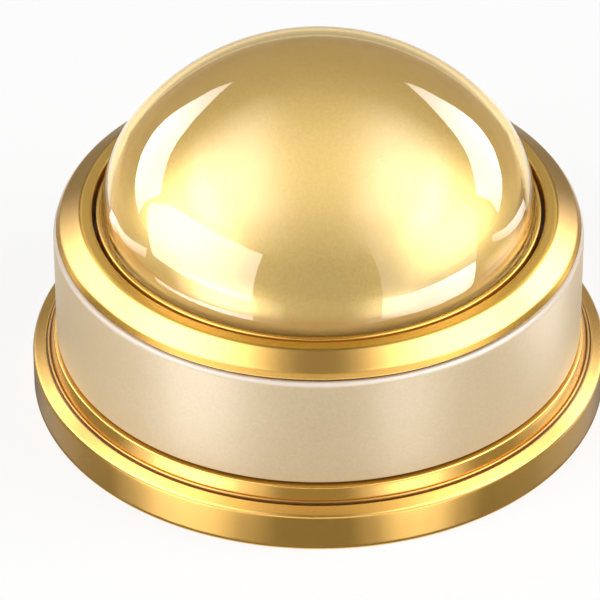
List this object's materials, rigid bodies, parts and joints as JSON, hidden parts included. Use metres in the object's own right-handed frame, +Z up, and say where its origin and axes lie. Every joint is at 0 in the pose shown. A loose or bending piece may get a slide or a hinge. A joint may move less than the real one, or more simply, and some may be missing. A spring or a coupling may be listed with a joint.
{
  "type": "arcade dome push button",
  "caption": "Round push button with a gold base ring, cream drum, gold bezel and a clear dome over a gold core, sprung, working a lever microswitch.",
  "frame": {"origin": "centre of the underside of the base ring, on the surface that the button stands on", "axes": "+Z up along the dome's axis and against its press, +Y towards the microswitch, +X along the microswitch's length"},
  "size_m": [0.1, 0.1, 0.0642],
  "materials": {
    "gold_metal": "gold anodised, satin polished",
    "pearl_drum": "cream pearl, satin",
    "clear_lens": "clear, polished",
    "gold_core": "metallised gold, satin",
    "black_rubber": "matt",
    "chassis_plastic": "moulded, fine grain",
    "plunger_plastic": "moulded, natural white",
    "bush_plastic": "low friction, natural",
    "bright_steel": "zinc plated",
    "plain_brass": "drawn",
    "switch_body": "moulded",
    "switch_lid": "moulded",
    "switch_pin": "moulded"
  },
  "bodies": {
    "housing": {"base_ring": "gold_metal", "foot_ring": "black_rubber", "lower_gasket": "black_rubber", "drum_shell": "pearl_drum", "upper_gasket": "black_rubber", "bezel_ring": "gold_metal", "chassis": "chassis_plastic", "tie_posts": "chassis_plastic", "tie_screws": "bright_steel", "panel_inserts": "plain_brass", "wire_grommet": "black_rubber", "guide_bush": "bush_plastic", "stop_washer": "black_rubber", "return_spring": "bright_steel", "switch_bracket": "chassis_plastic", "switch_case": "switch_body", "switch_cover": "switch_lid", "common_terminal": "plain_brass", "normally_open_terminal": "plain_brass", "normally_closed_terminal": "plain_brass", "switch_screws": "bright_steel", "switch_nuts": "bright_steel"},
    "dome": {"dome_lens": "clear_lens", "dome_core": "gold_core", "core_screws": "bright_steel", "lens_ring": "gold_metal", "plunger": "plunger_plastic", "return_pads": "black_rubber"},
    "lever": {"switch_lever": "bright_steel"},
    "pin": {"switch_button": "switch_pin"},
    "contact": {"switch_blade": "plain_brass"}
  },
  "joints": [
    {"name": "dome_press", "type": "slide", "parent": "housing", "child": "dome", "axis": [0, 0, -1], "range_m": [0, 0.004], "stiffness_N_per_m": 390, "springref_m": -0.005, "deforming": ["return_spring"]},
    {"name": "lever_pivot", "type": "hinge", "parent": "housing", "child": "lever", "pos_m": [-0.0122, 0.01863, 0.0229], "axis": [0, 1, 0], "range_deg": [0, 11]},
    {"name": "pin_press", "type": "slide", "parent": "housing", "child": "pin", "axis": [0, 0, -1], "range_m": [0, 0.00106]},
    {"name": "contact_swing", "type": "hinge", "parent": "housing", "child": "contact", "pos_m": [-0.0062, 0.01863, 0.0134], "axis": [0, 1, 0], "range_deg": [0, 2.85]}
  ],
  "couplings": [
    {"joint": "lever_pivot", "follows": "dome_press", "rad_per_m": 47.557},
    {"joint": "pin_press", "follows": "dome_press", "ratio": 0.26176},
    {"joint": "contact_swing", "follows": "dome_press", "rad_per_m": 12.217}
  ]
}
